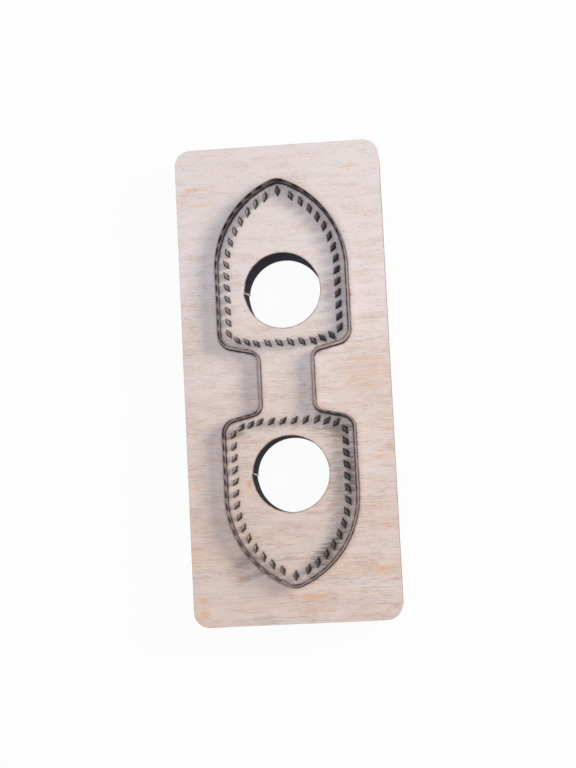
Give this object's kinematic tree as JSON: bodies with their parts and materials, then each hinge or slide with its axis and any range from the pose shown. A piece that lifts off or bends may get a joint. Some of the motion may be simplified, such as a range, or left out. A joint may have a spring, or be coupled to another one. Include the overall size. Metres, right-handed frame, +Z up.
{
  "type": "steel rule die",
  "caption": "Steel rule die for a folded leather blank: a bent cutting rule and diamond stitch punches set in a plywood board with two finger holes.",
  "frame": {"origin": "centre of the board's underside", "axes": "+X across the board, +Y along the board towards the upper panel, +Z up towards the cutting edge"},
  "size_m": [0.0724, 0.1686, 0.0238],
  "materials": {
    "plywood": "sanded birch plywood with laser-charred cuts",
    "rule_steel": "blued spring steel strip with a ground cutting edge",
    "punch_steel": "hardened steel with dark drawn faces"
  },
  "bodies": {
    "root": {"die_board": "plywood", "cutting_rule": "rule_steel", "upper_tip_punch": "punch_steel", "lower_tip_punch": "punch_steel", "upper_right_punches_1": "punch_steel", "upper_right_punches_2": "punch_steel", "upper_right_punches_3": "punch_steel", "upper_right_punches_4": "punch_steel", "upper_right_punches_5": "punch_steel", "upper_right_punches_6": "punch_steel", "upper_right_punches_7": "punch_steel", "upper_left_punches_1": "punch_steel", "upper_left_punches_2": "punch_steel", "upper_left_punches_3": "punch_steel", "upper_left_punches_4": "punch_steel", "upper_left_punches_5": "punch_steel", "upper_left_punches_6": "punch_steel", "upper_left_punches_7": "punch_steel", "lower_right_punches_1": "punch_steel", "lower_right_punches_2": "punch_steel", "lower_right_punches_3": "punch_steel", "lower_right_punches_4": "punch_steel", "lower_right_punches_5": "punch_steel", "lower_right_punches_6": "punch_steel", "lower_right_punches_7": "punch_steel", "lower_left_punches_1": "punch_steel", "lower_left_punches_2": "punch_steel", "lower_left_punches_3": "punch_steel", "lower_left_punches_4": "punch_steel", "lower_left_punches_5": "punch_steel", "lower_left_punches_6": "punch_steel", "lower_left_punches_7": "punch_steel", "upper_row_punches_1": "punch_steel", "upper_row_punches_2": "punch_steel", "upper_row_punches_3": "punch_steel", "upper_row_punches_4": "punch_steel", "upper_row_punches_5": "punch_steel", "lower_row_punches_1": "punch_steel", "lower_row_punches_2": "punch_steel", "lower_row_punches_3": "punch_steel", "lower_row_punches_4": "punch_steel", "lower_row_punches_5": "punch_steel"}
  },
  "joints": []
}
